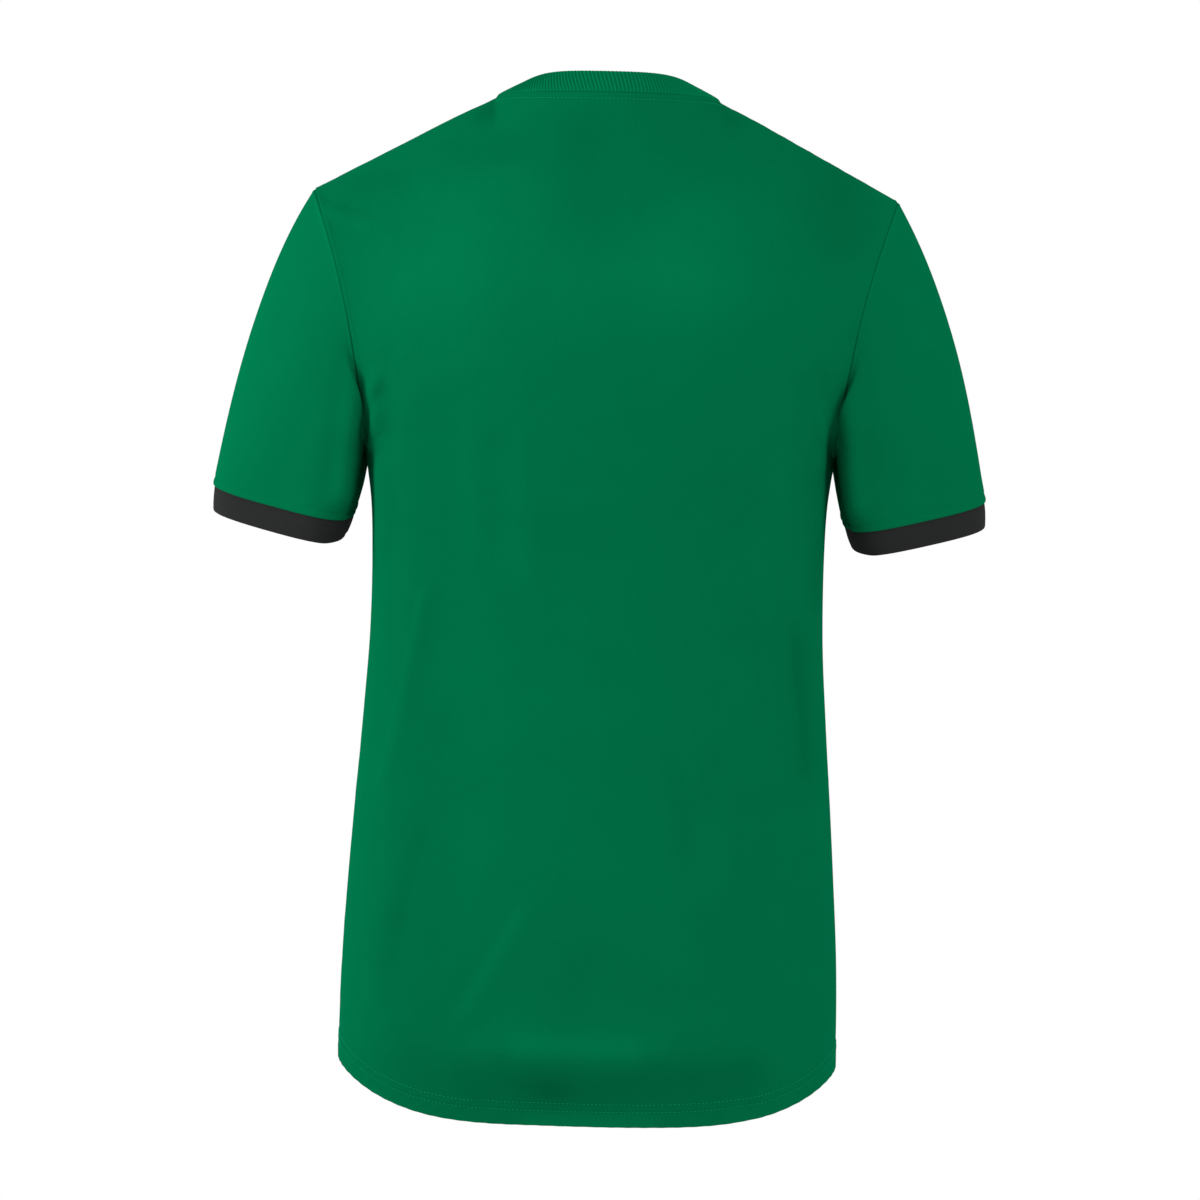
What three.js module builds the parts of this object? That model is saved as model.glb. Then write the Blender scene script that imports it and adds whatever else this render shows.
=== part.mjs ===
// A short-sleeved training t-shirt in its worn form: hollow, filled out by a general upright figure with its
// arms hanging. Millimetres, +Z up, the front faces -Y and +X is the wearer's left. The origin is in the
// middle of the neck opening, level with the tops of the shoulders, where the wearer carries the shirt.
//
// Cut and sewn pieces: a back and a front panel, two set-in sleeves, two cuff bands and a ribbed collar.
// Each one is a thin wall. A wall starts as a grid of points on the outside of the cloth, and its inside is
// the same grid moved in by the wall's thickness.
import * as THREE from "three";

// ---------- Cloth ----------
const WALL = 1.2; // knitted cloth of the panels and sleeves
const BAND_WALL = 2.0; // cuffs and collar, folded double
const SEAM = 0.3; // gap between two pieces that are sewn together
const MITRE_LIMIT = 1.5; // the longest mitre at a sharp seam, in wall thicknesses
const GREEN = 0x026b43;
const BLACK = 0x262727;

// ---------- Grid density ----------
const COLUMNS = 28; // across a panel, from side seam to side seam
const NECK_COLUMNS = 10; // those of them that end on the neckline
const STEPS = 2; // grid rows for each row of the tables below
const SLEEVE_STEPS = 12; // grid rows along a sleeve

// ---------- How the shirt hangs ----------
const SEAM_Y = -6; // the side and shoulder seams lie just in front of the origin
const POWER = 2.6; // superellipse power of the body's cross-section
const HEM_BEND = 4.2; // how late the hem turns up towards the side seams
const YOKE_BEND = 2; // the same for the rows above the underarm
const NECK_BLEND = 0.6; // how widely the neckline's corners are rounded off down the panel, in half widths
const EDGE_BLEND = 0.3; // half widths at a panel's edge over which its surface is drawn to that edge
const OVER_BLEND = 0.15; // half widths out from the neck point over which the cloth starts to round over
const AVERAGED = [-1, -0.75, -0.5, -0.25, 0, 0.25, 0.5, 0.75, 1];

// The body from the hem up to the underarm. z is the height at the side seams and half the distance out
// to them, back and front are the depths in the middle, and the dips are how much lower the middle hangs
// than the side seams.
const BODY = [
  { z: -705, half: 181, back: 106, front: 113, backDip: 35, frontDip: 12 },
  { z: -672, half: 181, back: 128, front: 119, backDip: 27, frontDip: 8 },
  { z: -630, half: 180, back: 126, front: 119, backDip: 13, frontDip: 4 },
  { z: -575, half: 177, back: 121, front: 118, backDip: 4, frontDip: 0 },
  { z: -515, half: 173, back: 112, front: 117, backDip: 0, frontDip: 0 },
  { z: -455, half: 168.5, back: 107, front: 116, backDip: 0, frontDip: 0 },
  { z: -397, half: 165, back: 105, front: 116, backDip: 0, frontDip: 0 },
  { z: -340, half: 164.5, back: 107, front: 119, backDip: 0, frontDip: 0 },
  { z: -300, half: 166, back: 112, front: 122, backDip: 0, frontDip: 0 },
  { z: -262, half: 171.5, back: 115, front: 123, backDip: 2, frontDip: 2 },
];

// The rows above the underarm end on the armhole seam, at an angle round it in degrees: 0 is the shoulder
// tip and 180 the underarm. z and depth are in the middle, and pull is how far the row already takes
// the shape of the neckline and shoulder seams above it.
const YOKE = {
  back: [
    { armhole: 150, z: -234, depth: 118, pull: 0 },
    { armhole: 120, z: -190, depth: 119, pull: 0.05 },
    { armhole: 90, z: -136, depth: 113, pull: 0.18 },
    { armhole: 60, z: -86, depth: 95, pull: 0.42 },
    { armhole: 30, z: -42, depth: 73, pull: 0.7 },
  ],
  front: [
    { armhole: 150, z: -234, depth: 124, pull: 0 },
    { armhole: 120, z: -194, depth: 124, pull: 0.05 },
    { armhole: 90, z: -156, depth: 119, pull: 0.18 },
    { armhole: 60, z: -124, depth: 112, pull: 0.42 },
    { armhole: 30, z: -99, depth: 103, pull: 0.7 },
  ],
};

// The armhole seam, from the shoulder tip to the underarm. reach is how far it goes back and forward of
// SEAM_Y, and cut how far it is cut in towards the middle there.
const ARMHOLE = {
  tip: { out: 213, z: -74 },
  under: { out: 171.5, z: -262 },
  reach: { back: 78, front: 76 },
  cut: { back: 9, front: 15 },
};

// The neckline seam, a loop round the neck: level at the back, scooped at the front. scoop is how late it
// turns down on its way to the front.
const NECK = { half: 82, back: 60, front: -92, backZ: -5.5, sideZ: -3.5, frontZ: -80, scoop: 1.4 };

// The collar stands on the neckline and leans in, by these angles from upright.
const COLLAR = { height: 20, lean: { back: 38, side: 70, front: 56 }, ribs: 190, rib: 0.4 };

// A sleeve runs from its armhole to a cuff seam whose middle is at x, y, z. Its opening is wide across and
// deep fore and aft, with the superellipse power, and by the share wedge deeper beside the body and
// shallower outside. It tilts outwards and forwards. out and under are the slopes at which the cloth leaves
// the shoulder tip and the underarm, drift the share of that slope that goes forwards, and puff how far the
// cloth swells behind and before.
const SLEEVE = {
  x: 230, y: -12, z: -298, wide: 53, deep: 60, wedge: 0.25, power: 3.2, outwards: 11, forwards: 10,
  out: 0.62, under: 0, drift: 0.2, puff: 0.2,
};
const CUFF = { height: 18.5, setBack: 1.2, taper: 0.96, steps: 2 };

// Soft folds of the panels: ridges (height above 0) and troughs (below 0) along a line from x0, z0 to x1, z1.
const FOLDS = {
  back: [
    { x0: 128, z0: -370, x1: 150, z1: -520, width: 13, height: 2.6 }, // left waist
    { x0: 146, z0: -390, x1: 163, z1: -500, width: 10, height: -2.2 },
    { x0: 126, z0: -550, x1: 148, z1: -640, width: 15, height: -2.2 }, // left hip
    { x0: 70, z0: -560, x1: 95, z1: -650, width: 18, height: 1.5 },
    { x0: -136, z0: -380, x1: -150, z1: -500, width: 13, height: -3 }, // right waist
    { x0: -118, z0: -400, x1: -128, z1: -560, width: 15, height: 1.6 },
    { x0: 92, z0: -105, x1: 100, z1: -160, width: 42, height: 3.5 }, // left shoulder blade
    { x0: -98, z0: -108, x1: -104, z1: -160, width: 40, height: 3 }, // right shoulder blade
    { x0: 0, z0: -30, x1: -4, z1: -130, width: 32, height: -2.5 }, // between them
    { x0: 182, z0: -95, x1: 140, z1: -78, width: 9, height: -1.6 }, // left shoulder
    { x0: -176, z0: -100, x1: -140, z1: -84, width: 12, height: -1.6 }, // right shoulder
    { x0: 150, z0: -212, x1: 160, z1: -264, width: 14, height: -3 }, // under the left arm
    { x0: -148, z0: -217, x1: -158, z1: -274, width: 14, height: -3.5 }, // under the right arm
    { x0: 60, z0: -700, x1: -40, z1: -700, width: 20, height: 2 }, // the roll above the hem
    { x0: 70, z0: -722, x1: -110, z1: -724, width: 9, height: -2.4 },
  ],
  front: [
    { x0: 120, z0: -300, x1: 140, z1: -480, width: 15, height: 2.6 },
    { x0: -116, z0: -330, x1: -140, z1: -520, width: 14, height: 2.4 },
    { x0: 100, z0: -340, x1: 112, z1: -460, width: 12, height: -2 },
    { x0: -60, z0: -470, x1: -78, z1: -640, width: 20, height: 1.8 },
    { x0: 48, z0: -520, x1: 66, z1: -660, width: 18, height: -1.8 },
    { x0: 80, z0: -150, x1: 86, z1: -205, width: 42, height: 3 },
    { x0: -84, z0: -150, x1: -90, z1: -205, width: 40, height: 3 },
    { x0: 150, z0: -204, x1: 160, z1: -264, width: 14, height: -3 },
    { x0: -150, z0: -208, x1: -158, z1: -268, width: 14, height: -3 },
  ],
};
const FOLD_MARGIN = 0.16; // share of a panel's half width, at its edges, over which folds fade out
const FOLD_TOP = 1.2; // table rows below the top edge over which they fade out

// ---------- Small helpers ----------
const vec = (x, y, z) => new THREE.Vector3(x, y, z);
const rad = THREE.MathUtils.degToRad;
const lerp = THREE.MathUtils.lerp;
const smooth = (x) => THREE.MathUtils.smoothstep(x, 0, 1);
const sideName = (side) => (side > 0 ? "left" : "right");
const UNDERARM = BODY.length - 1; // the table row that ends at the underarm
const TOP = UNDERARM + YOKE.back.length + 1; // the top edge of a panel, counted in table rows
const HALF = COLUMNS / 2;
const NECK_SHARE = NECK_COLUMNS / COLUMNS;

// ---------- Seam lines ----------
// side is 1 for the wearer's left and -1 for the right. way is 1 for the back and -1 for the front.
function armholePoint(side, way, degrees) {
  const { tip, under, reach, cut } = ARMHOLE;
  const face = way > 0 ? "back" : "front";
  const share = (1 - Math.cos(rad(degrees))) / 2;
  const s = Math.sin(rad(degrees));
  const out = lerp(tip.out, under.out, share) - cut[face] * s * s;
  return vec(side * out, SEAM_Y + way * reach[face] * s, lerp(tip.z, under.z, share));
}

// degrees is 0 at the middle of the back, 90 at the wearer's left and 180 at the middle of the front.
function necklinePoint(degrees) {
  const c = Math.cos(rad(degrees));
  const s = Math.sin(rad(degrees));
  const z = c > 0 ? lerp(NECK.sideZ, NECK.backZ, c ** 2) : lerp(NECK.sideZ, NECK.frontZ, (-c) ** NECK.scoop);
  const depth = c > 0 ? NECK.back - SEAM_Y : SEAM_Y - NECK.front;
  return vec(s * NECK.half, SEAM_Y + c * depth, z);
}

function shoulderPoint(side, share) {
  return necklinePoint(side * 90).lerp(armholePoint(side, 1, 0), share);
}

// The top edge of a panel: shoulder seam, neckline, shoulder seam. u runs from -1 to 1 across the panel.
function topPoint(way, u) {
  const across = Math.abs(u);
  if (across > NECK_SHARE) return shoulderPoint(Math.sign(u), (across - NECK_SHARE) / (1 - NECK_SHARE));
  const turn = (90 * u) / NECK_SHARE;
  return necklinePoint(way > 0 ? turn : 180 - turn);
}

// ---------- A panel's surface ----------
// Half of a row: an arc of a superellipse round SEAM_Y, from the middle of the panel out to its end.
function arc(u, end, middle, bend) {
  const share = Math.max(0, (end.y - SEAM_Y) / (middle.y - SEAM_Y));
  const reach = Math.acos(Math.pow(share, POWER / 2));
  const turn = Math.abs(u) * reach;
  const out = Math.pow(Math.sin(turn) / Math.sin(reach), 2 / POWER);
  const y = SEAM_Y + (middle.y - SEAM_Y) * Math.pow(Math.cos(turn), 2 / POWER);
  return vec(end.x * out, y, lerp(middle.z, end.z, Math.pow(out, bend)));
}

const seamPoint = (row, side) => vec(side * row.half, SEAM_Y, row.z);

// The point of table row k at u, on the back (way 1) or the front (way -1).
function rowPoint(way, k, u) {
  const side = u < 0 ? -1 : 1;
  const face = way > 0 ? "back" : "front";
  if (k <= UNDERARM) {
    const row = BODY[k];
    return arc(u, seamPoint(row, side), vec(0, way * row[face], row.z - row[face + "Dip"]), HEM_BEND);
  }
  if (k === TOP) return topPoint(way, u);
  const { armhole, z, depth, pull } = YOKE[face][k - UNDERARM - 1];
  const point = arc(u, armholePoint(side, way, armhole), vec(0, way * depth, z), YOKE_BEND);
  return point.addScaledVector(topDeparture(way, u, NECK_BLEND * (1 - pull)), pull);
}

// How far the top edge departs from a plain arc, averaged from u - spread to u + spread. The average rounds
// off the corner where the neckline meets the shoulder seam.
function topDeparture(way, u, spread) {
  const sum = vec(0, 0, 0);
  for (const share of AVERAGED) {
    const near = THREE.MathUtils.clamp(u + share * spread, -1, 1);
    const plain = arc(near, topPoint(way, near < 0 ? -1 : 1), topPoint(way, 0), YOKE_BEND);
    sum.add(topPoint(way, near)).sub(plain);
  }
  return sum.divideScalar(AVERAGED.length);
}

// A line up the panel at u. Over the shoulder it runs on into the other panel, so that both leave
// the shoulder seam at one slope. Below the neckline it runs straight on.
function upLine(way, u) {
  const points = [];
  for (let k = 0; k <= TOP; k++) points.push(rowPoint(way, k, u));
  const straightOn = points[TOP].clone().multiplyScalar(2).sub(points[TOP - 1]);
  points.push(straightOn.lerp(rowPoint(-way, TOP - 1, u), smooth((Math.abs(u) - NECK_SHARE) / OVER_BLEND)));
  const curve = new THREE.CatmullRomCurve3(points, false, "centripetal");
  return (t) => curve.getPoint(t / (points.length - 1));
}

// The panel's own edge: side seam up to the underarm, then armhole seam.
function edgeLine(way, side) {
  const seam = new THREE.CatmullRomCurve3(BODY.map((row) => seamPoint(row, side)), false, "centripetal");
  return (t) =>
    t <= UNDERARM
      ? seam.getPoint(t / UNDERARM)
      : armholePoint(side, way, (180 * (TOP - t)) / (TOP - UNDERARM));
}

function foldHeight(folds, point) {
  let height = 0;
  for (const { x0, z0, x1, z1, width, height: rise } of folds) {
    const line = new THREE.Line3(vec(x0, 0, z0), vec(x1, 0, z1));
    const near = line.closestPointToPoint(vec(point.x, 0, point.z), true, vec(0, 0, 0));
    height += rise * Math.exp(-(((point.x - near.x) ** 2 + (point.z - near.z) ** 2) / width ** 2));
  }
  return height;
}

function panelGrid(way) {
  const rows = [];
  const ends = [-1, 1].map((side) => ({ line: upLine(way, side), edge: edgeLine(way, side) }));
  const lines = [];
  for (let i = 0; i <= COLUMNS; i++) lines.push(upLine(way, (i - HALF) / HALF));
  for (let j = 0; j <= TOP * STEPS; j++) {
    const t = j / STEPS;
    const row = lines.map((line, i) => {
      const u = (i - HALF) / HALF;
      const end = ends[u < 0 ? 0 : 1];
      const toEdge = end.edge(t).sub(end.line(t));
      return line(t).addScaledVector(toEdge, smooth((Math.abs(u) - 1 + EDGE_BLEND) / EDGE_BLEND));
    });
    rows.push(row);
  }
  const grid = { rows, facing: -way, closed: false };
  const normals = gridNormals(grid);
  grid.rows = rows.map((row, j) =>
    row.map((point, i) => {
      const u = (i - HALF) / HALF;
      const fade = smooth((1 - Math.abs(u)) / FOLD_MARGIN) * smooth((TOP - j / STEPS) / FOLD_TOP);
      const rise = fade * foldHeight(FOLDS[way > 0 ? "back" : "front"], point);
      return point.clone().addScaledVector(normals[j][i], rise);
    }),
  );
  return grid;
}

// ---------- A sleeve's and a cuff's surface ----------
function sleeveAxes(side) {
  const out = rad(SLEEVE.outwards);
  const fore = rad(SLEEVE.forwards);
  const across = vec(side * Math.cos(out), 0, Math.sin(out));
  const back = vec(0, Math.cos(fore), -Math.sin(fore));
  const down = vec(side * Math.sin(out), -Math.sin(fore), -Math.cos(out)).normalize();
  return { across, back, down };
}

// The ring at a distance below the cuff seam, at an angle round the arm: 0 outside, 90 behind, 180 inside.
function cuffPoint(side, degrees, below, setBack, taper) {
  const { across, back, down } = sleeveAxes(side);
  const squared = (share) => Math.sign(share) * Math.pow(Math.abs(share), 2 / SLEEVE.power);
  const [c, s] = [squared(Math.cos(rad(degrees))), squared(Math.sin(rad(degrees)))];
  const deep = SLEEVE.deep * (1 - SLEEVE.wedge * c);
  return vec(side * SLEEVE.x, SLEEVE.y, SLEEVE.z)
    .addScaledVector(across, (SLEEVE.wide * taper - setBack) * c)
    .addScaledVector(back, (deep * taper - setBack) * s)
    .addScaledVector(down, below);
}

// From the armhole to the cuff seam each line down the sleeve is a cubic that leaves the armhole at its
// own slope and reaches the cuff along the arm.
function sleevePoint(side, degrees, share) {
  const way = degrees <= 180 ? 1 : -1;
  const from = armholePoint(side, way, way > 0 ? degrees : 360 - degrees);
  const to = cuffPoint(side, degrees, 0, 0, 1);
  const length = from.distanceTo(to);
  const top = (1 + Math.cos(rad(degrees))) / 2;
  from.x += side * SEAM * (1 - top); // towards the underarm the sleeve and the panels hang side by side
  const slope = lerp(SLEEVE.under, SLEEVE.out, top);
  const swell = SLEEVE.puff * Math.sin(rad(degrees));
  const start = vec(side * slope, swell - SLEEVE.drift * slope, -1).setLength(length);
  const end = sleeveAxes(side).down.setLength(length);
  const [s2, s3] = [share ** 2, share ** 3];
  return vec(0, 0, 0)
    .addScaledVector(from, 2 * s3 - 3 * s2 + 1)
    .addScaledVector(start, s3 - 2 * s2 + share)
    .addScaledVector(to, 3 * s2 - 2 * s3)
    .addScaledVector(end, s3 - s2);
}

// Grid columns round a sleeve: one for each grid row of both panels' armholes.
const ROUND = 2 * (TOP - UNDERARM) * STEPS;

function ringGrid(side, steps, pointAt) {
  const rows = [];
  for (let j = 0; j <= steps; j++) {
    const row = [];
    for (let i = 0; i < ROUND; i++) row.push(pointAt((360 * i) / ROUND, j / steps));
    rows.push(row);
  }
  return { rows, facing: -side, closed: true };
}

// ---------- Walls ----------
// The direction out of the cloth at each grid point.
function gridNormals({ rows, facing, closed }) {
  const columns = rows[0].length;
  const at = (j, i) => rows[j][closed ? (i + columns) % columns : THREE.MathUtils.clamp(i, 0, columns - 1)];
  return rows.map((row, j) =>
    row.map((_, i) => {
      const across = at(j, i + 1).clone().sub(at(j, i - 1));
      const up = at(Math.min(j + 1, rows.length - 1), i).clone().sub(at(Math.max(j - 1, 0), i));
      return across.cross(up).multiplyScalar(facing).normalize();
    }),
  );
}

// The grid's edge as loops of [row, column] in the order that keeps the cloth on one hand.
function edgeLoops({ rows, closed }) {
  const [last, columns] = [rows.length - 1, rows[0].length];
  const low = rows[0].map((_, i) => [0, i]);
  const high = rows[0].map((_, i) => [last, columns - 1 - i]);
  if (closed) return [low, high];
  const inner = rows.slice(1, last).map((_, j) => j + 1);
  const rising = inner.map((j) => [j, columns - 1]);
  const falling = inner.map((j) => [last - j, 0]);
  return [[...low, ...rising, ...high, ...falling]];
}

// Draws the whole edge back into the cloth by half a seam gap: how far each grid point moves.
function edgeShifts(grid, normals) {
  const shifts = new Map();
  for (const loop of edgeLoops(grid)) {
    loop.forEach(([j, i], n) => {
      const [jBefore, iBefore] = loop[(n + loop.length - 1) % loop.length];
      const [jAfter, iAfter] = loop[(n + 1) % loop.length];
      const along = grid.rows[jAfter][iAfter].clone().sub(grid.rows[jBefore][iBefore]);
      const inwards = normals[j][i].clone().multiplyScalar(grid.facing).cross(along);
      shifts.set(j + "," + i, inwards.setLength(SEAM / 2));
    });
  }
  return shifts;
}

// A closed wall. mitres maps "row,column" to the vector from the outside to the inside of the cloth where
// that isn't simply the wall's thickness along the normal, and relief lifts points of the outside alone.
function wallGeometry({ grid, normals, mitres }, thickness, relief = () => 0) {
  const { rows, facing, closed } = grid;
  const shifts = edgeShifts(grid, normals);
  const columns = rows[0].length;
  const positions = [];
  for (const inside of [false, true]) {
    rows.forEach((row, j) =>
      row.forEach((point, i) => {
        const moved = point.clone().add(shifts.get(j + "," + i) ?? vec(0, 0, 0));
        if (!inside) moved.addScaledVector(normals[j][i], relief(j, i));
        else if (mitres.has(j + "," + i)) moved.add(mitres.get(j + "," + i));
        else moved.addScaledVector(normals[j][i], -thickness);
        positions.push(moved.x, moved.y, moved.z);
      }),
    );
  }
  const insideStart = rows.length * columns;
  const at = (inside, j, i) => (inside ? insideStart : 0) + j * columns + (i % columns);
  const faces = [];
  const quad = (a, b, c, d) => {
    if (facing > 0) faces.push(a, b, c, a, c, d);
    else faces.push(a, c, b, a, d, c);
  };
  const cells = closed ? columns : columns - 1;
  for (let j = 0; j < rows.length - 1; j++) {
    for (let i = 0; i < cells; i++) {
      quad(at(false, j, i), at(false, j, i + 1), at(false, j + 1, i + 1), at(false, j + 1, i));
      quad(at(true, j, i), at(true, j + 1, i), at(true, j + 1, i + 1), at(true, j, i + 1));
    }
  }
  for (const loop of edgeLoops(grid)) {
    loop.forEach(([j, i], n) => {
      const [jAfter, iAfter] = loop[(n + 1) % loop.length];
      quad(at(true, j, i), at(true, jAfter, iAfter), at(false, jAfter, iAfter), at(false, j, i));
    });
  }
  const geometry = new THREE.BufferGeometry();
  geometry.setAttribute("position", new THREE.Float32BufferAttribute(positions, 3));
  geometry.setIndex(faces);
  geometry.computeVertexNormals();
  return geometry;
}

// ---------- Seams ----------
const piece = (grid) => ({ grid, normals: gridNormals(grid), mitres: new Map() });

// Panels that are sewn edge to edge share one direction out of the cloth at each point of the seam.
function shareNormals(meeting) {
  const mean = vec(0, 0, 0);
  for (const { normals, row, column } of meeting) mean.add(normals[row][column]);
  for (const { normals, row, column } of meeting) normals[row][column] = mean.clone().normalize();
}

// Walls that meet at an angle are mitred: their insides meet on the line that halves the angle.
function mitreWalls(meeting) {
  const mean = vec(0, 0, 0);
  for (const { normals, row, column } of meeting) mean.add(normals[row][column]);
  mean.divideScalar(meeting.length);
  const depth = WALL / Math.max(mean.length(), 1 / MITRE_LIMIT);
  mean.setLength(-depth);
  for (const { mitres, row, column } of meeting) mitres.set(row + "," + column, mean);
}

const back = piece(panelGrid(1));
const front = piece(panelGrid(-1));
const UNDERARM_ROW = UNDERARM * STEPS;
const TOP_ROW = TOP * STEPS;

for (const side of [1, -1]) {
  const edge = HALF + side * HALF;
  for (let row = 0; row <= UNDERARM_ROW; row++) {
    shareNormals([back, front].map((panel) => ({ ...panel, row, column: edge })));
  }
  for (let n = HALF * NECK_SHARE; n <= HALF; n++) {
    shareNormals([back, front].map((panel) => ({ ...panel, row: TOP_ROW, column: HALF + side * n })));
  }
}

function sewnSleeve(side) {
  const sleeve = piece(ringGrid(side, SLEEVE_STEPS, (degrees, share) => sleevePoint(side, degrees, share)));
  for (let i = 0; i < ROUND; i++) {
    const row = UNDERARM_ROW + Math.abs(i - ROUND / 2);
    const panel = i < ROUND / 2 ? back : front;
    mitreWalls([{ ...panel, row, column: HALF + side * HALF }, { ...sleeve, row: 0, column: i }]);
  }
  // the shoulder tip and the underarm are on both panels
  for (const [row, i] of [[TOP_ROW, 0], [UNDERARM_ROW, ROUND / 2]]) {
    const key = row + "," + (HALF + side * HALF);
    const depth = sleeve.mitres.get("0," + i);
    back.mitres.set(key, depth);
    front.mitres.set(key, depth);
  }
  return sleeve;
}

function cuff(side) {
  return piece(
    ringGrid(side, CUFF.steps, (degrees, share) =>
      cuffPoint(side, degrees, share * CUFF.height, CUFF.setBack, lerp(1, CUFF.taper, share)),
    ),
  );
}

// The collar's foot follows the panels' necklines, and its lower edge is square to them.
function neckVertex(k) {
  const turn = k >= NECK_COLUMNS * 1.5 ? k - 2 * NECK_COLUMNS : k;
  const panel = turn <= NECK_COLUMNS / 2 ? back : front;
  const column = panel === back ? HALF + turn : HALF + NECK_COLUMNS - turn;
  return { point: panel.grid.rows[TOP_ROW][column], normal: panel.normals[TOP_ROW][column] };
}

// Its lean in degrees, at an angle round the neck: it lies down on the shoulders and stands up behind.
function collarLean(degrees) {
  const c = Math.cos(rad(degrees));
  const { back: behind, side, front: before } = COLLAR.lean;
  return lerp(c > 0 ? behind : before, side, (1 - c * c) ** 2);
}

function collar() {
  const columns = COLLAR.ribs * 2;
  const eachCell = columns / (2 * NECK_COLUMNS);
  const foot = [];
  const mitres = new Map();
  for (let i = 0; i < columns; i++) {
    const k = Math.floor(i / eachCell);
    const from = neckVertex(k);
    const to = neckVertex((k + 1) % (2 * NECK_COLUMNS));
    const share = (i % eachCell) / eachCell;
    foot.push(from.point.clone().lerp(to.point, share));
    mitres.set("0," + i, from.normal.clone().lerp(to.normal, share).setLength(-BAND_WALL));
  }
  const edge = foot.map((_, i) => {
    const degrees = (360 * i) / columns;
    const inwards = vec(-Math.sin(rad(degrees)), -Math.cos(rad(degrees)), 0);
    const lean = rad(collarLean(degrees));
    return necklinePoint(degrees)
      .addScaledVector(inwards, COLLAR.height * Math.sin(lean))
      .add(vec(0, 0, COLLAR.height * Math.cos(lean)));
  });
  // the foot starts half a seam gap up, clear of the neckline's corners
  foot.forEach((point, i) => point.lerp(edge[i], SEAM / 2 / COLLAR.height));
  return { ...piece({ rows: [foot, edge], facing: -1, closed: true }), mitres };
}

// ---------- The shirt ----------
const garment = new THREE.Group();
garment.name = "training_t_shirt";

function add(name, colour, geometry) {
  const material = new THREE.MeshStandardMaterial({ color: colour, roughness: 0.8, metalness: 0 });
  const mesh = new THREE.Mesh(geometry, material);
  mesh.name = name;
  garment.add(mesh);
}

for (const side of [1, -1]) {
  add("sleeve_" + sideName(side), GREEN, wallGeometry(sewnSleeve(side), WALL));
  add("cuff_" + sideName(side), BLACK, wallGeometry(cuff(side), BAND_WALL));
}
add("back", GREEN, wallGeometry(back, WALL));
add("front", GREEN, wallGeometry(front, WALL));
add("collar", GREEN, wallGeometry(collar(), BAND_WALL, (_, i) => (i % 2 ? COLLAR.rib : 0)));

export default garment;
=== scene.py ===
"""A short-sleeved training t-shirt in the shape it takes on a wearer, dressed over its CAD frame.

The cut is worked out in millimetres, as the CAD model's is: +Z up, the front faces -Y and +X is the
wearer's left. Each piece of cloth is a thin closed shell on the form of its CAD solid, with finer creases,
seams, turned hems and rows of stitches. side is 1 for the wearer's left and -1 for the right, and way is
1 for the back and -1 for the front.
"""
import math

import bpy
import numpy as np
from mathutils import Matrix, Vector


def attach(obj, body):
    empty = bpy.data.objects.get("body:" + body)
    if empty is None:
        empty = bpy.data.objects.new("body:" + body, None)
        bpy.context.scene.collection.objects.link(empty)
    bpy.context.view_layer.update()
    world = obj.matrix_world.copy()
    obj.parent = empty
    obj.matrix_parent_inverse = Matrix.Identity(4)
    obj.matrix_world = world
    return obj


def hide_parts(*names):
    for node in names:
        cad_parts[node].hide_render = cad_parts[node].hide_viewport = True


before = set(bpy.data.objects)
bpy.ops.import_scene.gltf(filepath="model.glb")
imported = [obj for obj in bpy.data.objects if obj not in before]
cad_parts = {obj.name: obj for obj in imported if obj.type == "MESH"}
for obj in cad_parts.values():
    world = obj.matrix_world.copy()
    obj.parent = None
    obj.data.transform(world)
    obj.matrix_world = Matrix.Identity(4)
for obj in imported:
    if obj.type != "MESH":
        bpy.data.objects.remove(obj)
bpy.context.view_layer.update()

MM = 0.001

# ---------- The cut, as in the CAD model ----------
SEAM_Y = -6.0  # the side and shoulder seams lie just in front of the origin
POWER = 2.6  # superellipse power of the body's cross-section
HEM_BEND = 4.2  # how late the hem turns up towards the side seams
YOKE_BEND = 2.0  # the same for the rows above the underarm
NECK_BLEND = 0.6  # how widely the neckline's corners are rounded off down the panel, in half widths
EDGE_BLEND = 0.3  # half widths at a panel's edge over which its surface is drawn to that edge
OVER_BLEND = 0.15  # from the neck point outwards, half widths over which the cloth starts to round over
NECK_SHARE = 10 / 28  # share of a panel's width that ends on the neckline

# Rows of the body: height, half width, depth of the back and front, and how much lower their middles hang
BODY = [
    dict(z=-705, half=181, back=106, front=113, back_dip=35, front_dip=12),
    dict(z=-672, half=181, back=128, front=119, back_dip=27, front_dip=8),
    dict(z=-630, half=180, back=126, front=119, back_dip=13, front_dip=4),
    dict(z=-575, half=177, back=121, front=118, back_dip=4, front_dip=0),
    dict(z=-515, half=173, back=112, front=117, back_dip=0, front_dip=0),
    dict(z=-455, half=168.5, back=107, front=116, back_dip=0, front_dip=0),
    dict(z=-397, half=165, back=105, front=116, back_dip=0, front_dip=0),
    dict(z=-340, half=164.5, back=107, front=119, back_dip=0, front_dip=0),
    dict(z=-300, half=166, back=112, front=122, back_dip=0, front_dip=0),
    dict(z=-262, half=171.5, back=115, front=123, back_dip=2, front_dip=2),
]
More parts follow.
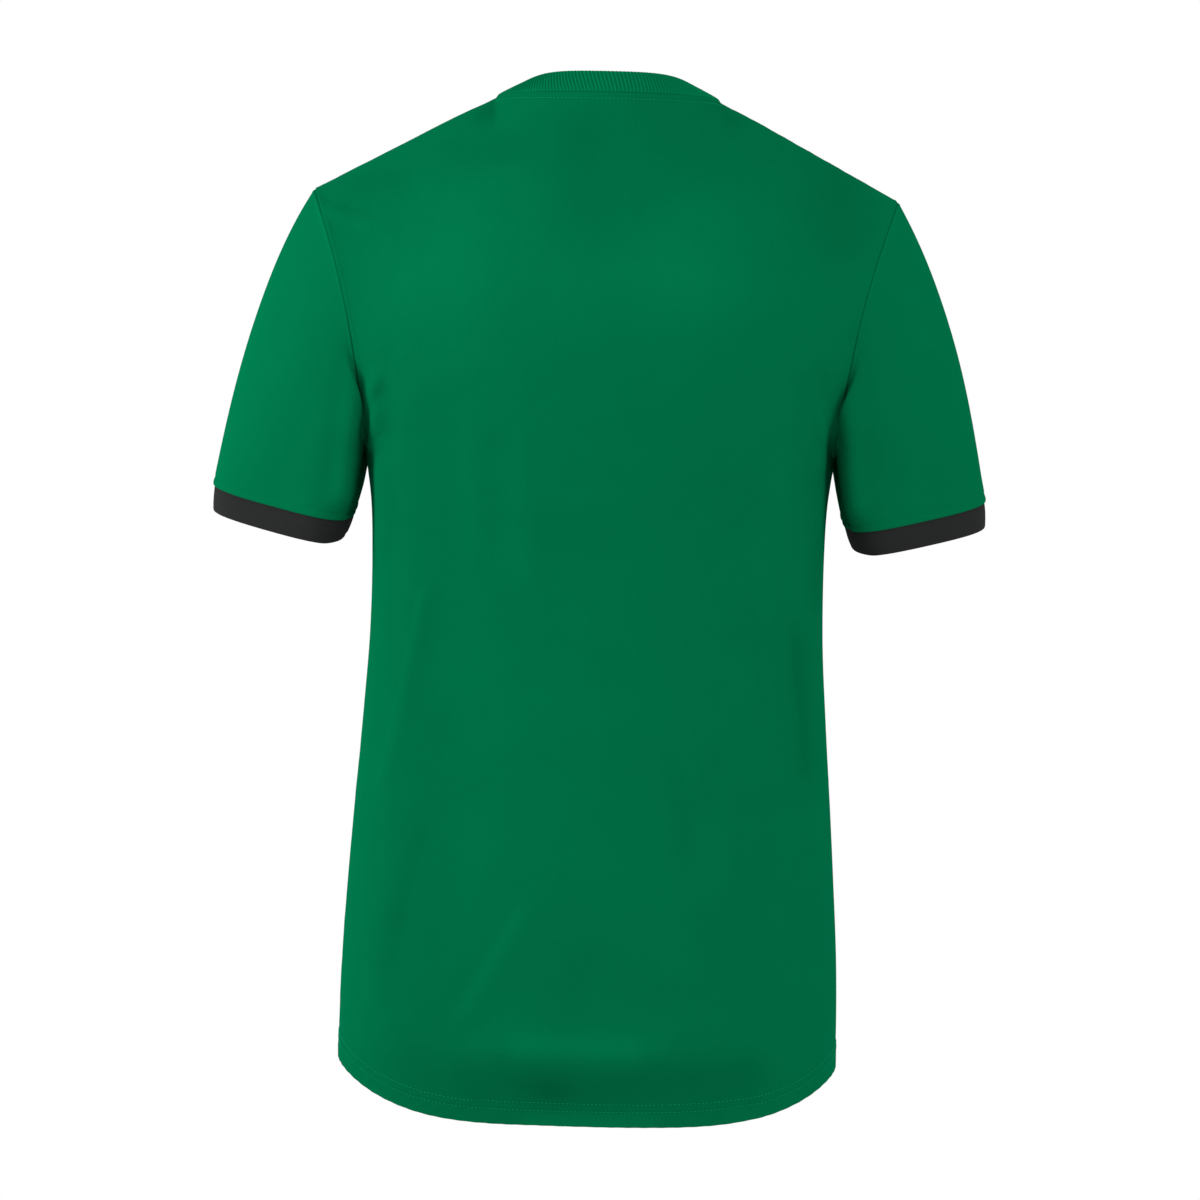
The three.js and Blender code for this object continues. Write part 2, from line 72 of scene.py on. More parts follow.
# Rows above the underarm: angle round the armhole, height and depth in the middle, pull of the neckline
YOKE = {
    "back": [
        dict(armhole=150, z=-234, depth=118, pull=0),
        dict(armhole=120, z=-190, depth=119, pull=0.05),
        dict(armhole=90, z=-136, depth=113, pull=0.18),
        dict(armhole=60, z=-86, depth=95, pull=0.42),
        dict(armhole=30, z=-42, depth=73, pull=0.7),
    ],
    "front": [
        dict(armhole=150, z=-234, depth=124, pull=0),
        dict(armhole=120, z=-194, depth=124, pull=0.05),
        dict(armhole=90, z=-156, depth=119, pull=0.18),
        dict(armhole=60, z=-124, depth=112, pull=0.42),
        dict(armhole=30, z=-99, depth=103, pull=0.7),
    ],
}
ARMHOLE = dict(
    tip_out=213, tip_z=-74, under_out=171.5, under_z=-262,
    reach=dict(back=78, front=76), cut=dict(back=9, front=15),
)
NECK = dict(half=82, back=60, front=-92, back_z=-5.5, side_z=-3.5, front_z=-80, scoop=1.4)
COLLAR = dict(height=20, lean=dict(back=38, side=70, front=56), ribs=190, rib=0.4)
SLEEVE = dict(
    x=230, y=-12, z=-298, wide=53, deep=60, wedge=0.25, power=3.2, outwards=11, forwards=10,
    out=0.62, under=0, drift=0.2, puff=0.2,
)
CUFF = dict(height=18.5, set_back=1.2, taper=0.96)

UNDERARM = len(BODY) - 1
TOP = UNDERARM + len(YOKE["back"]) + 1

# Large soft folds in columns x0, z0, x1, z1, width and height. Each lies along the line from x0, z0 to x1,
# z1, and its height is below 0 for a trough.
FOLDS = {
    "back": [
        (128, -370, 150, -520, 13, 2.6),
        (146, -390, 163, -500, 10, -2.2),
        (126, -550, 148, -640, 15, -2.2),
        (70, -560, 95, -650, 18, 1.5),
        (-136, -380, -150, -500, 13, -3),
        (-118, -400, -128, -560, 15, 1.6),
        (92, -105, 100, -160, 42, 3.5),
        (-98, -108, -104, -160, 40, 3),
        (0, -30, -4, -130, 32, -2.5),
        (182, -95, 140, -78, 9, -1.6),
        (-176, -100, -140, -84, 12, -1.6),
        (150, -212, 160, -264, 14, -3),
        (-148, -217, -158, -274, 14, -3.5),
        (60, -700, -40, -700, 20, 2),
        (70, -722, -110, -724, 9, -2.4),
    ],
    "front": [
        (120, -300, 140, -480, 15, 2.6),
        (-116, -330, -140, -520, 14, 2.4),
        (100, -340, 112, -460, 12, -2),
        (-60, -470, -78, -640, 20, 1.8),
        (48, -520, 66, -660, 18, -1.8),
        (80, -150, 86, -205, 42, 3),
        (-84, -150, -90, -205, 40, 3),
        (150, -204, 160, -264, 14, -3),
        (-150, -208, -158, -268, 14, -3),
    ],
}
FOLD_MARGIN = 0.16  # share of a panel's half width over which folds fade out towards its sides
FOLD_TOP = 1.2  # table rows over which they fade out towards its top edge


def lerp(a, b, share):
    return a + (b - a) * share


def smooth(x):
    x = np.clip(x, 0, 1)
    return x * x * (3 - 2 * x)


def face_of(way):
    return "back" if way > 0 else "front"


def points_of(x, y, z):
    return np.stack(np.broadcast_arrays(x, y, z), -1).astype(float)


# ---------- Seam lines ----------
def armhole_point(side, way, degrees):
    """degrees is 0 at the shoulder tip and 180 at the underarm."""
    face = face_of(way)
    share = (1 - np.cos(np.radians(degrees))) / 2
    s = np.sin(np.radians(degrees))
    out = lerp(ARMHOLE["tip_out"], ARMHOLE["under_out"], share) - ARMHOLE["cut"][face] * s * s
    z = lerp(ARMHOLE["tip_z"], ARMHOLE["under_z"], share)
    return points_of(side * out, SEAM_Y + way * ARMHOLE["reach"][face] * s, z)


def neckline_point(degrees):
    """degrees is 0 in the middle of the back, 90 at the wearer's left and 180 in front."""
    c = np.cos(np.radians(degrees))
    s = np.sin(np.radians(degrees))
    at_back = lerp(NECK["side_z"], NECK["back_z"], np.maximum(c, 0) ** 2)
    at_front = lerp(NECK["side_z"], NECK["front_z"], np.maximum(-c, 0) ** NECK["scoop"])
    depth = np.where(c > 0, NECK["back"] - SEAM_Y, SEAM_Y - NECK["front"])
    return points_of(s * NECK["half"], SEAM_Y + c * depth, np.where(c > 0, at_back, at_front))


def top_point(way, u):
    """The top edge of a panel: shoulder seam, neckline, shoulder seam. u runs from -1 to 1 across it."""
    side = np.where(u < 0, -1, 1)
    turn = 90 * np.clip(u / NECK_SHARE, -1, 1)
    neck = neckline_point(turn if way > 0 else 180 - turn)
    along = np.clip((np.abs(u) - NECK_SHARE) / (1 - NECK_SHARE), 0, 1)[..., None]
    return lerp(neck, armhole_point(side, way, 0), along)


# ---------- A panel's surface ----------
def arc(u, end, middle, bend):
    """Half rows: arcs of a superellipse round SEAM_Y from the middle of the panel out to its ends."""
    share = np.maximum(0, (end[..., 1] - SEAM_Y) / (middle[1] - SEAM_Y))
    reach = np.arccos(np.clip(share ** (POWER / 2), 0, 1))
    turn = np.abs(u) * reach
    out = (np.sin(turn) / np.sin(reach)) ** (2 / POWER)
    y = SEAM_Y + (middle[1] - SEAM_Y) * np.maximum(np.cos(turn), 0) ** (2 / POWER)
    return points_of(end[..., 0] * out, y, lerp(middle[2], end[..., 2], out**bend))


def top_departure(way, u, spread):
    """How far the top edge departs from a plain arc, averaged from u - spread to u + spread."""
    total = 0
    shares = np.linspace(-1, 1, 9)
    for share in shares:
        near = np.clip(u + share * spread, -1, 1)
        ends = top_point(way, np.where(near < 0, -1.0, 1.0))
        total = total + top_point(way, near) - arc(near, ends, top_point(way, np.float64(0)), YOKE_BEND)
    return total / len(shares)


def row_points(way, k, u):
    """The points of table row k at each u."""
    side = np.where(u < 0, -1, 1)
    face = face_of(way)
    if k <= UNDERARM:
        row = BODY[k]
        end = points_of(side * row["half"], SEAM_Y, row["z"])
        return arc(u, end, (0, way * row[face], row["z"] - row[face + "_dip"]), HEM_BEND)
    if k == TOP:
        return top_point(way, u)
    row = YOKE[face][k - UNDERARM - 1]
    end = armhole_point(side, way, row["armhole"])
    plain = arc(u, end, (0, way * row["depth"], row["z"]), YOKE_BEND)
    return plain + row["pull"] * top_departure(way, u, NECK_BLEND * (1 - row["pull"]))


def spline(knots, after, t):
    """A centripetal Catmull-Rom curve through knots[k] at t = k. after is the point beyond the last."""
    before = 2 * knots[0] - knots[1]
    chain = np.concatenate([before[None], knots, after[None]])
    k = np.minimum(t.astype(int), len(knots) - 2)
    w = (t - k).reshape((-1,) + (1,) * (knots.ndim - 1))
    p0, p1, p2, p3 = (chain[k + n] for n in range(4))
    d0, d1, d2 = (
        np.maximum(np.linalg.norm(b - a, axis=-1, keepdims=True), 1e-6) ** 0.5
        for a, b in ((p0, p1), (p1, p2), (p2, p3))
    )
    m1 = ((p1 - p0) / d0 - (p2 - p0) / (d0 + d1) + (p2 - p1) / d1) * d1
    m2 = ((p2 - p1) / d1 - (p3 - p1) / (d1 + d2) + (p3 - p2) / d2) * d1
    return p1 + w * (m1 + w * (3 * (p2 - p1) - 2 * m1 - m2 + w * (2 * (p1 - p2) + m1 + m2)))


def up_lines(way, u, t):
    """Lines up the panel at each u, at each t in table rows. They run on over the shoulder seams."""
    knots = np.stack([row_points(way, k, u) for k in range(TOP + 1)])
    straight_on = 2 * knots[-1] - knots[-2]
    share = smooth((np.abs(u) - NECK_SHARE) / OVER_BLEND)[:, None]
    return spline(knots, lerp(straight_on, row_points(-way, TOP - 1, u), share), t)


def edge_line(way, side, t):
    """The panel's own edge: side seam up to the underarm, then armhole seam."""
    knots = points_of(side * np.array([r["half"] for r in BODY]), SEAM_Y, np.array([r["z"] for r in BODY]))
    seam = spline(knots, 2 * knots[-1] - knots[-2], np.minimum(t, UNDERARM))
    hole = armhole_point(side, way, np.minimum(180, 180 * (TOP - t) / (TOP - UNDERARM)))
    return np.where(t[:, None] <= UNDERARM, seam, hole)


def fold_height(folds, points):
    height = np.zeros(points.shape[:-1])
    for x0, z0, x1, z1, width, rise in folds:
        px, pz = points[..., 0] - x0, points[..., 2] - z0
        dx, dz = x1 - x0, z1 - z0
        along = np.clip((px * dx + pz * dz) / (dx * dx + dz * dz), 0, 1)
        height += rise * np.exp(-((px - along * dx) ** 2 + (pz - along * dz) ** 2) / width**2)
    return height


def normals_of(points, facing, closed):
    """The direction out of the cloth at each grid point."""
    if closed:
        across = np.roll(points, -1, 1) - np.roll(points, 1, 1)
    else:
        across = np.gradient(points, axis=1)
    normals = facing * np.cross(across, np.gradient(points, axis=0))
    return normals / np.linalg.norm(normals, axis=-1, keepdims=True)


def panel_form(way, u, t):
    """The panel as the CAD model has it: its outer surface with the large folds."""
    points = up_lines(way, u, t)
    for side in (-1, 1):
        to_edge = edge_line(way, side, t) - up_lines(way, np.array([float(side)]), t)[:, 0]
        points += to_edge[:, None] * smooth((side * u - 1 + EDGE_BLEND) / EDGE_BLEND)[None, :, None]
    fade = smooth((1 - np.abs(u)) / FOLD_MARGIN)[None] * smooth((TOP - t) / FOLD_TOP)[:, None]
    rise = fade * fold_height(FOLDS[face_of(way)], points)
    return points + rise[..., None] * normals_of(points, -way, False)


# ---------- A sleeve's and a cuff's surface ----------
def sleeve_axes(side):
    out, fore = math.radians(SLEEVE["outwards"]), math.radians(SLEEVE["forwards"])
    across = np.array([side * math.cos(out), 0, math.sin(out)])
    back = np.array([0, math.cos(fore), -math.sin(fore)])
    down = np.array([side * math.sin(out), -math.sin(fore), -math.cos(out)])
    return across, back, down / np.linalg.norm(down)


def cuff_point(side, degrees, below, set_back, taper):
    """The ring at a distance below the cuff seam. degrees is 0 outside, 90 behind and 180 inside."""
    across, back, down = sleeve_axes(side)
    c, s = np.cos(np.radians(degrees))[..., None], np.sin(np.radians(degrees))[..., None]
    c, s = (np.sign(v) * np.abs(v) ** (2 / SLEEVE["power"]) for v in (c, s))
    centre = np.array([side * SLEEVE["x"], SLEEVE["y"], SLEEVE["z"]])
    wide = SLEEVE["wide"] * taper - set_back
    deep = SLEEVE["deep"] * (1 - SLEEVE["wedge"] * c) * taper - set_back
    return centre + across * wide * c + back * deep * s + down * below


def sleeve_form(side, degrees, share):
    """Lines down the sleeve, from the armhole to the cuff seam: cubics in share, one for each angle."""
    way = np.where(degrees <= 180, 1, -1)
    back = armhole_point(side, 1, degrees)
    front = armhole_point(side, -1, 360 - degrees)
    start = np.where((way > 0)[:, None], back, front)
    end = cuff_point(side, degrees, 0, 0, 1)
    length = np.linalg.norm(end - start, axis=-1, keepdims=True)
    top = (1 + np.cos(np.radians(degrees))) / 2
    slope = lerp(SLEEVE["under"], SLEEVE["out"], top)
    swell = SLEEVE["puff"] * np.sin(np.radians(degrees))
    leave = points_of(side * slope, swell - SLEEVE["drift"] * slope, -1)
    leave *= length / np.linalg.norm(leave, axis=-1, keepdims=True)
    arrive = sleeve_axes(side)[2] * length
    s = share[:, None, None]
    return (
        start * (2 * s**3 - 3 * s**2 + 1)
        + leave * (s**3 - 2 * s**2 + s)
        + end * (3 * s**2 - 2 * s**3)
        + arrive * (s**3 - s**2)
    )


# ---------- Cloth: sizes in mm ----------
WALL = 1.0  # panels and sleeves
HEM_WALL = 1.7  # the turned hem
BAND_WALL = 2.0  # cuffs and collar, folded double
# A sewn seam dips into the cloth, and its allowance makes a low ridge beside it
SEAM = dict(dip=0.6, dip_width=1.0, ridge=0.35, ridge_at=2.0, ridge_width=1.0)
PUCKERS = ((5.3, 0.25, 0), (2.1, 0.15, 1))  # length, share and phase of the ridge's unevenness
# Shares of the colour, painted shading: painted shade in the seam's dip, and a painted highlight on the ridge
# beside it
SEAM_PAINTED_SHADING = dict(dip=0.25, dip_width=0.9, ridge_at=1.8, ridge_width=0.8, on_panel=0.04, on_sleeve=0.14)
# The hem is turned up and sewn with a twin needle, in two rows above the edge
HEM = dict(turn=20.0, step=1.0, thicker=0.55, rows=(12.0, 18.5), dip=0.6, dip_width=1.0)
ROPE = dict(height=0.14, length=1.9, slant=3, fade=4)  # the twist that the twin needle gives the hem
NECK_ROW = dict(below=5.5, dip=0.45, dip_width=0.8)  # the row of stitches below the collar
NECK_FADE = 0.02  # half widths over which that row's dip ends at the neckline's corners
STITCH = dict(pitch=2.9, length=1.9, radius=0.3, tip=0.55, rings=6, sides=6)
# An armhole's seam stands out of the crease along it, more by the underarm than further up. It starts, falls
# and ends over table rows.
FILL = dict(under=20.0, upper=5.0, width=9.5, start=0.6, fall_from=0.5, fall=1.5, end_before=0.3, end=1.5)
# A sleeve's inner corners stand out, where it faces inwards by this angle, and fade out towards its ends
CORNER = dict(height=7.5, angle=47, spread=26, from_top=14, from_end=22)
# The sleeve's end rolls over the cuff, below the dip of its seam
SLEEVE_END = dict(roll=0.25, roll_at=1.4, roll_width=1.5, dip=0.3, dip_at=4.6, dip_width=1.3)
CUFF_FORM = dict(bow=0.5, tuck=0.4, tuck_length=2, rise=0.1)  # rise is a share of its height, by the body
# lean: at the wearer's left the ribs' tops are this many degrees round towards the front, at the right none
COLLAR_FORM = dict(bow=0.9, foot=0.6, lean=7.0)
# The second share is painted shading on the ribs: painted highlight on their crests, painted shade between
# them
COLLAR_TONE, RIB_PAINTED_SHADING = 0.2, 0.2  # the collar is lighter, most of all on its ribs
# Distances from an edge over which the waviness and the creases come in
EASE = dict(panel_waves=30, panel_creases=6, sleeve_waves=20, sleeve_creases=5)
WAVES = ((190, 0.5), (120, 0.35), (75, 0.2), (46, 0.1))  # wavelength and height of the slow waviness
WAVES_EACH = 3
WAVE_SEEDS = {"back": 11, "front": 12, 1: 13, -1: 14}  # for each panel and for the sleeve on each side

# Grid density: columns over half a panel's width, the columns beside a seam in mm from it, and rows up it.
# The lists of rows are stops for spread().
NECK_COLUMNS = 34
PANEL_COLUMNS = 54
SEAM_COLUMNS = (0, 0.8, 1.6, 2.6, 3.8, 5.2, 7, 9.5, 12.5, 16)
HEM_SHARE, HEM_STEPS = 0.67, 30  # table rows that the hem takes up
BODY_STEPS, YOKE_STEPS = 13, 11  # for each table row
TOP_SHARE, TOP_STEPS = 0.25, 12
SLEEVE_ROWS = [0, (0.045, 10), (0.12, 7), (0.9, 54), (0.97, 8), (1, 7)]
CUFF_COLUMNS, CUFF_ROWS = 180, [-2.5, (0, 3), (14.5, 12), (18.5, 8)]
RIB_STEPS, COLLAR_STEPS = 6, 14
RIM_STEPS = 3  # points round a cut or folded edge, between the outside and the inside

# Creases, each a line on the cloth from a0, b0 to a1, b1 with a width and a height, in mm. lean is
# how much wider the flank on the wearer's left is than the other. On a panel a is x and b is z.
CREASES = {
    "back": [
        (157, -240, 153, -330, 6, 4.0, 0.0),  # the side of the body beside each sleeve
        (157, -245, 150, -410, 6, 1.6, 0.0),
        (-157, -240, -153, -320, 6, 3.6, 0.0),
        (-157, -245, -150, -380, 6, 1.6, 0.0),
        (150, -205, 172, -262, 7, -1.2, 0.2),  # under the left arm
        (140, -200, 166, -226, 8, 1.8, 0.0),
        (-152, -210, -172, -266, 7, -2.0, -0.2),  # under the right arm
        (-140, -204, -162, -236, 8, 1.6, 0.0),
        (200, -84, 168, -94, 5, -1.3, 0.0),  # drags at the left shoulder
        (194, -95, 158, -106, 5, 1.1, 0.0),
        (190, -107, 162, -113, 4.5, -1.0, 0.0),
        (-190, -96, -164, -106, 7, -1.2, 0.0),  # at the right shoulder
        (161, -222, 163, -258, 6, 4.0, 0.0),
        (124, -369, 150, -495, 5, 1.5, -0.6),  # the long line down the left side
        (-138, -392, -152, -494, 8, -3.6, 0.3),  # the groove on the right
        (-149, -405, -158, -470, 4, 1.4, 0.0),
        (90, -258, 86, -335, 8, 0.9, 0.0),  # faint uprights below the shoulder blades
        (52, -262, 46, -350, 8, 0.9, 0.0),
        (70, -270, 67, -330, 9, -0.7, 0.0),
        (118, -540, 134, -598, 8, -1.2, 0.2),  # left hip
        (134, -600, 144, -656, 10, -1.3, 0.2),
        (49, -596, 84, -658, 9, 1.8, -0.5),
        (-60, -490, -72, -552, 10, -1.1, 0.0),  # right hip
        (-96, -520, -104, -590, 9, 0.7, 0.0),
        (66, -686, -50, -687, 10, 2.6, 0.0),  # the roll above the hem
        (-70, -698, -112, -690, 8, 0.8, 0.0),
    ],
    "front": [
        (150, -200, 172, -258, 8, -2.0, 0.2),
        (-150, -204, -172, -262, 8, -2.2, -0.2),
        (138, -196, 164, -226, 8, 1.6, 0.0),
        (-140, -200, -162, -230, 8, 1.6, 0.0),
        (198, -84, 166, -96, 6, -1.1, 0.0),
        (-198, -86, -168, -99, 6, -1.2, 0.0),
        (128, -340, 152, -480, 5, 1.2, 0.0),
        (-124, -360, -150, -500, 6, -1.4, 0.2),
        (58, -560, 82, -640, 9, 1.1, 0.0),
        (-40, -540, -58, -630, 10, -1.0, 0.0),
        (40, -250, 34, -330, 9, 0.8, 0.0),
        (-56, -262, -52, -340, 9, 0.8, 0.0),
        (50, -690, -60, -692, 10, 1.4, 0.0),
    ],
}
# The same on a sleeve: round it in mm from the underarm seam towards the back, and down it in mm
SLEEVE_CREASES = {
    1: [
        (14, 0, 36, 56, 8, -1.6, 0.2),
        (62, 8, 78, 70, 9, -1.0, 0.0),
        (-60, 10, -78, 66, 9, -1.0, 0.0),
    ],
    -1: [
        (14, 0, 38, 60, 8, -1.8, 0.2),
        (66, 14, 92, 104, 8, -1.2, 0.0),
        (84, 8, 104, 70, 9, 0.9, 0.0),
        (-64, 8, -82, 76, 9, -1.1, 0.0),
    ],
}
# Painted shading: soft patches of painted highlight (share above 0) and painted shade (share below 0),
# in the same columns as the folds, with a share of the colour in place of the height
PAINTED_SHADING = {
    "back": [
        (98, -92, 92, -142, 46, 0.10),  # over the left shoulder blade
        (166, -112, 160, -150, 30, 0.04),
        (-88, -92, -88, -142, 36, 0.08),  # over the right one
        (20, -135, -40, -140, 36, 0.07),
        (0, -36, -2, -84, 30, -0.03),
        (-166, -72, -172, -108, 26, -0.12),  # right shoulder
        (204, -80, 156, -72, 14, -0.06),  # left shoulder
        (128, -240, 118, -690, 30, -0.09),  # inside the left edge
        (100, -52, 35, -36, 22, -0.08),  # beside the neck
        (-155, -282, -157, -368, 9, -0.08),
        (-146, -395, -152, -488, 8, -0.08),
        (-66, -500, -68, -548, 14, -0.035),
        (124, -369, 150, -495, 5, 0.05),
        (49, -596, 84, -658, 8, 0.04),
        (118, -540, 134, -598, 9, -0.04),
        (136, -602, 142, -656, 11, -0.05),
        (5, -612, 5, -648, 28, -0.05),
        (46, -682, -30, -684, 10, 0.11),
        (84, -702, 24, -710, 15, -0.10),  # above the turned hem
        (28, -711, -112, -701, 16, -0.12),
        (36, -738, -44, -738, 8, 0.14),  # on it
    ],
    "front": [
        (90, -150, 92, -205, 44, 0.05),
        (-88, -150, -90, -205, 40, 0.05),
        (0, -330, 0, -520, 60, -0.03),
        (70, -700, -70, -702, 15, -0.07),
    ],
}
CREASE_END = 1.6  # a crease dies out past its ends over this many of its widths


def bell(distance, width):
    return np.exp(-((distance / width) ** 2))


def crease_height(creases, a, b):
    """The height of creases at the place a, b on the cloth, in mm."""
    height = np.zeros(np.broadcast(a, b).shape)
    for a0, b0, a1, b1, width, rise, lean in creases:
        length = math.hypot(a1 - a0, b1 - b0)
        along_a, along_b = (a1 - a0) / length, (b1 - b0) / length
        along = (a - a0) * along_a + (b - b0) * along_b
        past = along - np.clip(along, 0, length)
        aside = (b - b0) * along_a - (a - a0) * along_b
        aside = aside * np.where(along_b > 0, -1, 1)
        flank = width * (1 + lean * np.sign(aside))
        height += rise * bell(aside, flank) * bell(past, CREASE_END * width)
    return height


def unevenness(a, b, seed):
    """A slow, slight waviness of the whole cloth, in mm. Its waves are longer along b."""
    rng = np.random.default_rng(seed)
    total = 0
    for wavelength, rise in WAVES:
        for _ in range(WAVES_EACH):
            angle, phase = rng.uniform(0, math.pi), rng.uniform(0, 2 * math.pi)
            across = (a * math.cos(angle) + 0.6 * b * math.sin(angle)) / wavelength
            total = total + rise / WAVES_EACH * np.sin(2 * math.pi * across + phase)
    return total


def seam_relief(distance, along):
    """The cloth dips into a sewn seam, with a low uneven ridge beside it where the allowance lies."""
    pull = 1 + sum(share * np.sin(along / length + phase) for length, share, phase in PUCKERS)
    ridge = SEAM["ridge"] * pull * bell(distance - SEAM["ridge_at"], SEAM["ridge_width"])
    return ridge - SEAM["dip"] * bell(distance, SEAM["dip_width"])


def seam_painted_shading(distance, ridge):
    """Painted shade in the seam itself, and a little painted highlight on the ridge beside it."""
    painted_highlight = ridge * bell(distance - SEAM_PAINTED_SHADING["ridge_at"], SEAM_PAINTED_SHADING["ridge_width"])
    return painted_highlight - SEAM_PAINTED_SHADING["dip"] * bell(distance, SEAM_PAINTED_SHADING["dip_width"])


def armhole_fill(t, distance):
    """The allowance in an armhole seam holds the cloth out beside it, but not at the underarm or the tip."""
    on = smooth((t - UNDERARM) / FILL["start"]) * smooth((TOP - t - FILL["end_before"]) / FILL["end"])
    fall = smooth((t - UNDERARM - FILL["fall_from"]) / FILL["fall"])
    return lerp(FILL["under"], FILL["upper"], fall) * on * np.exp(-distance / FILL["width"])


def turned_up(distance):
    """1 on the turned hem and 0 above it."""
    return smooth((HEM["turn"] - distance) / HEM["step"] + 0.5)


def hem_relief(distance, along):
    """The turned hem: two layers, drawn in along both rows of stitches and slightly roped."""
    rows = sum(bell(distance - row, HEM["dip_width"]) for row in HEM["rows"])
    twist = np.sin(along / ROPE["length"] + distance / ROPE["slant"])
    rope = ROPE["height"] * twist * smooth((HEM["turn"] - distance) / ROPE["fade"])
    return HEM["thicker"] * turned_up(distance) - HEM["dip"] * rows + rope


# ---------- Grids and meshes ----------
def run_along(points, axis):
    """The distance from the start of each line of the grid, along the cloth."""
    steps = np.linalg.norm(np.diff(points, axis=axis), axis=-1)
    start = np.zeros_like(np.take(steps, [0], axis))
    return np.concatenate([start, np.cumsum(steps, axis)], axis)


def spread(stops):
    """Values from the first stop to the last: each later stop is (value, number of steps to it)."""
    parts = [np.array([stops[0]], float)]
    for value, steps in stops[1:]:
        parts.append(np.linspace(parts[-1][-1], value, steps + 1)[1:])
    return np.concatenate(parts)


def new_piece(name, points, faces):
    """A smooth mesh in the scene from points in mm."""
    mesh = bpy.data.meshes.new(name)
    mesh.from_pydata((points * MM).tolist(), [], faces)
    mesh.shade_smooth()
    piece = bpy.data.objects.new(name, mesh)
    bpy.context.scene.collection.objects.link(piece)
    return piece


def set_tone(piece, values):
    """Gives each vertex a share of the material's colour."""
    tone = piece.data.attributes.new("tone", "FLOAT", "POINT")
    tone.data.foreach_set("value", np.asarray(values, np.float32))


def boundary_loops(rows, columns, closed):
    """The grid's edge as loops of (row, column), in the order that keeps the cloth on one hand."""
    low = [(0, i) for i in range(columns)]
    high = [(rows - 1, i) for i in reversed(range(columns))]
    if closed:
        return [low, high]
    rising = [(j, columns - 1) for j in range(1, rows - 1)]
    falling = [(j, 0) for j in reversed(range(1, rows - 1))]
    return [low + rising + high + falling]


class Surface:
    """The outside of one piece of cloth: its points, its directions out and its places on the flat cloth.

    facing is 1 or -1, the hand on which the outside lies, and a closed surface is a ring round a limb.
    """

    def __init__(self, points, facing, closed, wall):
        self.points, self.facing, self.closed = points, facing, closed
        self.normals = normals_of(points, facing, closed)
        whole = np.concatenate([points, points[:, :1]], 1) if closed else points
        self.across, self.along = run_along(whole, 1), run_along(whole, 0)
        self.wall = np.full(points.shape[:2], float(wall))
        self.tone = np.ones(points.shape[:2])

    def relief(self, height):
        self.points = self.points + height[..., None] * self.normals

    def flat(self):
        """The places on the flat cloth: from the middle line outwards, and up it."""
        middle = self.across[:, [self.across.shape[1] // 2]]
        return np.stack([self.across - middle, self.along], -1)

    def piece(self, name, open_rows):
        """A closed shell of cloth. The rows in open_rows (0, -1) end in a round edge, the rest are sewn."""
        outer, inner, uv = self.points, self.points - self.normals * self.wall[..., None], self.flat()
        rows, columns = outer.shape[:2]
        count = rows * columns
        at = np.arange(count).reshape(rows, columns)
        corner = at[:, np.arange(columns + self.closed) % columns]
        quads = np.stack([corner[:-1, :-1], corner[:-1, 1:], corner[1:, 1:], corner[1:, :-1]], -1)
        quad_uv = np.stack([uv[:-1, :-1], uv[:-1, 1:], uv[1:, 1:], uv[1:, :-1]], -2)
        quads, quad_uv = quads.reshape(-1, 4), quad_uv.reshape(-1, 4, 2)
        points, tone = [outer.reshape(-1, 3), inner.reshape(-1, 3)], [self.tone.ravel(), self.tone.ravel()]
        faces, face_uv = [quads, quads[:, ::-1] + count], [quad_uv, quad_uv[:, ::-1]]
        made = 2 * count
        for loop in boundary_loops(rows, columns, self.closed):
            j, i = np.array(loop).T
            away = np.zeros((len(j), 3))
            for row in open_rows:
                on = j == row % rows
                away[on] += outer[j[on], i[on]] - outer[row % rows + (1 if row == 0 else -1), i[on]]
            away /= np.maximum(np.linalg.norm(away, axis=-1, keepdims=True), 1e-9)
            middle, half = (outer[j, i] + inner[j, i]) / 2, (outer[j, i] - inner[j, i]) / 2
            reach = np.linalg.norm(half, axis=-1, keepdims=True)
            rings = [at[j, i]]
            for step in range(1, RIM_STEPS + 1):
                turn = math.pi * step / (RIM_STEPS + 1)
                points.append(middle + half * math.cos(turn) + away * reach * math.sin(turn))
                tone.append(self.tone[j, i])
                rings.append(np.arange(made, made + len(j)))
                made += len(j)
            rings.append(at[j, i] + count)
            for ring, following in zip(rings, rings[1:]):
                faces.append(np.stack([following, np.roll(following, -1), np.roll(ring, -1), ring], -1))
                face_uv.append(np.repeat(uv[j, i][:, None], 4, 1))
        faces, face_uv = np.concatenate(faces), np.concatenate(face_uv)
        if self.facing < 0:
            faces, face_uv = faces[:, ::-1], face_uv[:, ::-1]
        piece = new_piece(name, np.concatenate(points), faces.tolist())
        layer = piece.data.uv_layers.new(name="cloth")
        layer.data.foreach_set("uv", (face_uv * MM).astype(np.float32).ravel())
        set_tone(piece, np.concatenate(tone))
        return piece


def along_grid(grid, distance, wanted):
    """Where each column of grid is at the wanted distance, which rises or falls along it."""
    found = np.empty((grid.shape[1], 3))
    for i in range(grid.shape[1]):
        order = np.argsort(distance[:, i])
        for axis in range(3):
            found[i, axis] = np.interp(wanted, distance[order, i], grid[order, i, axis])
    return found


